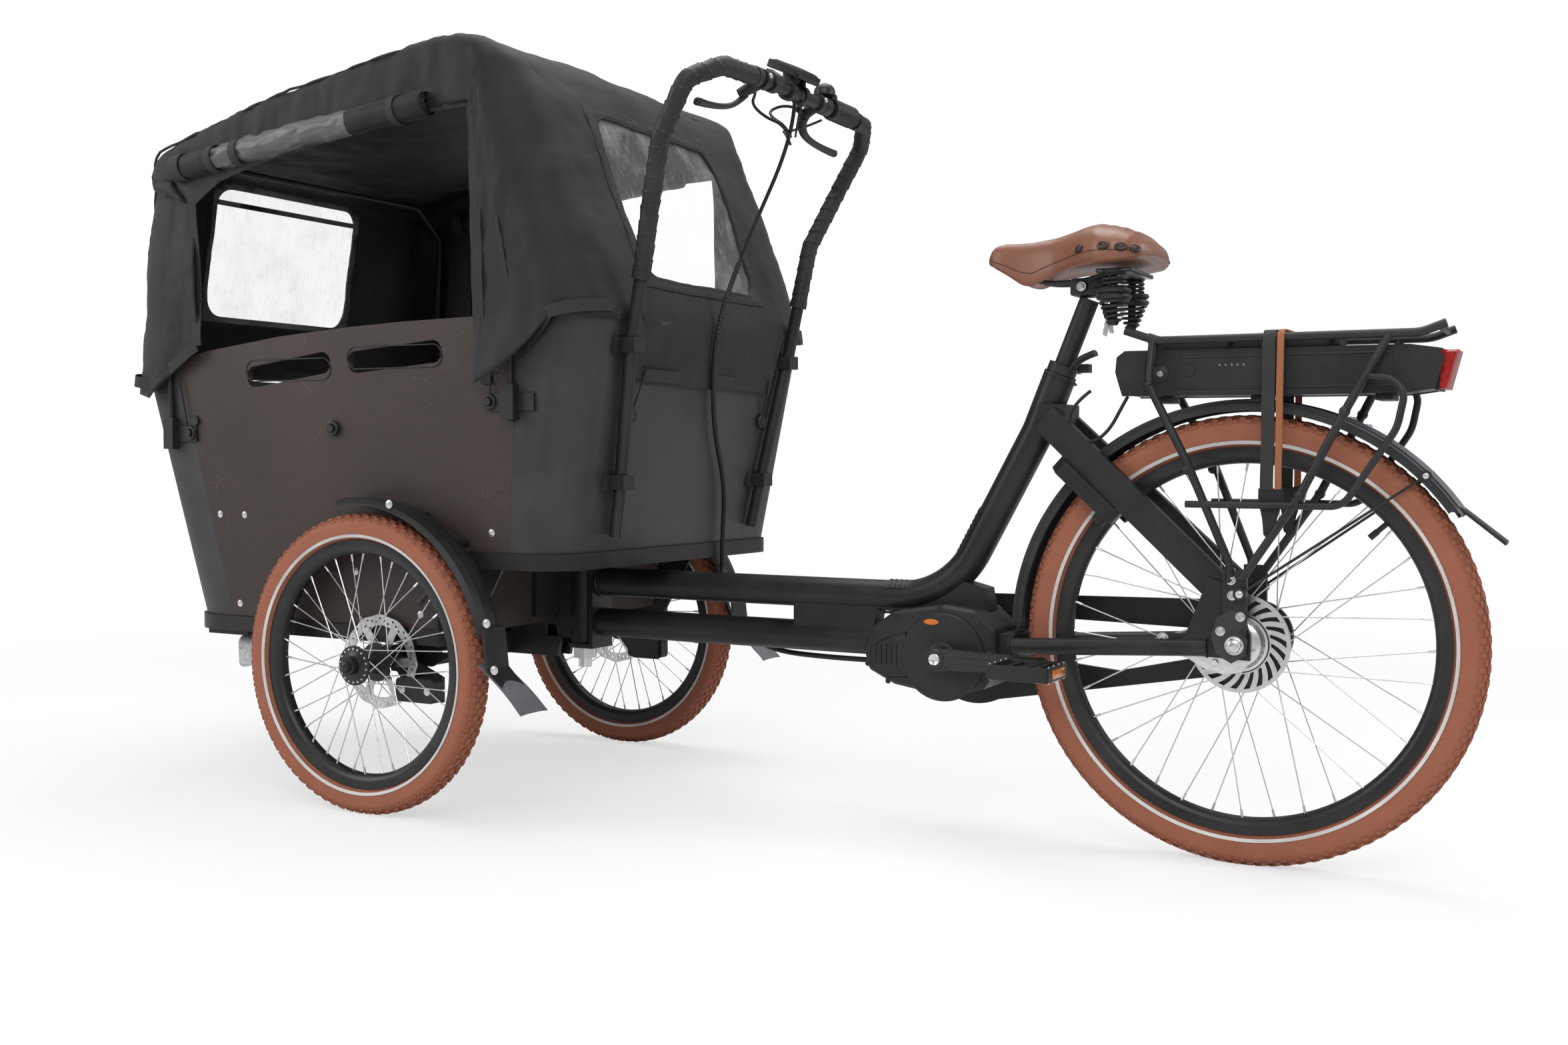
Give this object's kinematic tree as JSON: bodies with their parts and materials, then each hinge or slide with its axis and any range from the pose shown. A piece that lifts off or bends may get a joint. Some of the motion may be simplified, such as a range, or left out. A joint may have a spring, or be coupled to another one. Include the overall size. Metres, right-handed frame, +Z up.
{
  "type": "electric cargo trike",
  "caption": "Three-wheeled electric cargo bike: curved plywood front box with fabric rain canopy, push bar steering, step-through rear frame with mid motor, sprung saddle and rack battery.",
  "frame": {"origin": "on the ground under the middle of the vehicle's overall length and width", "axes": "+X forward, +Y to the rider's left, +Z up"},
  "size_m": [2.328, 0.862, 1.277],
  "materials": {
    "tyre_rubber": "matt, knobbly",
    "black_rim": "anodised",
    "steel": "brushed",
    "frame_paint": "satin",
    "black_steel": "satin",
    "motor_black": "matt",
    "black_plastic": "matt",
    "crank_alloy": "anodised",
    "leather": "smooth, worn",
    "ply": "film-faced, satin",
    "black_sheet": "matt",
    "floor_ply": "film-faced",
    "belt_black": "matt",
    "canvas": "coated cloth",
    "film": "clear soft film",
    "tape": "wrapped",
    "lamp_red": "gloss",
    "lamp_clear": "gloss",
    "cable_black": "matt",
    "strap": "elastic webbing",
    "rotor_steel": "brushed"
  },
  "bodies": {
    "rear_frame": {"main_frame": "frame_paint", "pivot_bolt": "steel", "rear_stays": "frame_paint", "rear_brake": "steel", "motor_unit": "motor_black", "chain_case": "black_plastic", "seat_post": "black_steel", "seat_clamp": "black_steel", "seat_springs": "black_steel", "saddle": "leather", "rack": "black_steel", "battery": "black_plastic", "tail_light": "lamp_red", "rack_strap": "strap", "rear_fender": "black_plastic", "ring_lock": "black_plastic", "cable_rear": "cable_black"},
    "front_carriage": {"box_sides": "ply", "box_back": "black_sheet", "box_front": "black_sheet", "box_floor": "floor_ply", "box_belt": "belt_black", "bench": "floor_ply", "subframe": "frame_paint", "calipers": "black_steel", "front_fenders": "black_plastic", "steps": "black_plastic", "headlights": "lamp_clear", "canopy": "canvas", "canopy_windows": "film", "door_rolls": "canvas", "canopy_poles": "black_steel", "pole_sockets": "black_plastic", "box_pegs": "black_plastic", "push_bar": "frame_paint", "bar_tape": "tape", "bar_clamps": "black_plastic", "bar_display": "black_plastic", "bar_controls": "black_plastic", "brake_levers": "crank_alloy", "cable_front": "cable_black"},
    "front_left_wheel": {"front_left_tyre": "tyre_rubber", "front_left_rim": "black_rim", "front_left_hub": "steel", "front_left_rotor": "rotor_steel"},
    "front_right_wheel": {"front_right_tyre": "tyre_rubber", "front_right_rim": "black_rim", "front_right_hub": "steel", "front_right_rotor": "rotor_steel"},
    "rear_wheel": {"rear_tyre": "tyre_rubber", "rear_rim": "black_rim", "rear_hub": "steel"},
    "crank": {"crank_set": "crank_alloy"},
    "left_pedal": {"pedal_left": "black_plastic"},
    "right_pedal": {"pedal_right": "black_plastic"}
  },
  "joints": [
    {"name": "steering", "type": "hinge", "parent": "rear_frame", "child": "front_carriage", "pos_m": [0.369, 0, 0.33], "axis": [0, 0, 1], "range_deg": [-40, 40]},
    {"name": "front_left_spin", "type": "hinge", "parent": "front_carriage", "child": "front_left_wheel", "pos_m": [0.541, 0.385, 0.25], "axis": [0, 1, 0], "continuous": true},
    {"name": "front_right_spin", "type": "hinge", "parent": "front_carriage", "child": "front_right_wheel", "pos_m": [0.541, -0.385, 0.25], "axis": [0, 1, 0], "continuous": true},
    {"name": "rear_spin", "type": "hinge", "parent": "rear_frame", "child": "rear_wheel", "pos_m": [-0.819, 0, 0.33], "axis": [0, 1, 0], "continuous": true},
    {"name": "crank_spin", "type": "hinge", "parent": "rear_frame", "child": "crank", "pos_m": [-0.366, 0, 0.284], "axis": [0, 1, 0], "continuous": true},
    {"name": "left_pedal_spin", "type": "hinge", "parent": "crank", "child": "left_pedal", "pos_m": [-0.536, 0.152, 0.284], "axis": [0, 1, 0], "continuous": true},
    {"name": "right_pedal_spin", "type": "hinge", "parent": "crank", "child": "right_pedal", "pos_m": [-0.196, -0.152, 0.284], "axis": [0, 1, 0], "continuous": true}
  ]
}
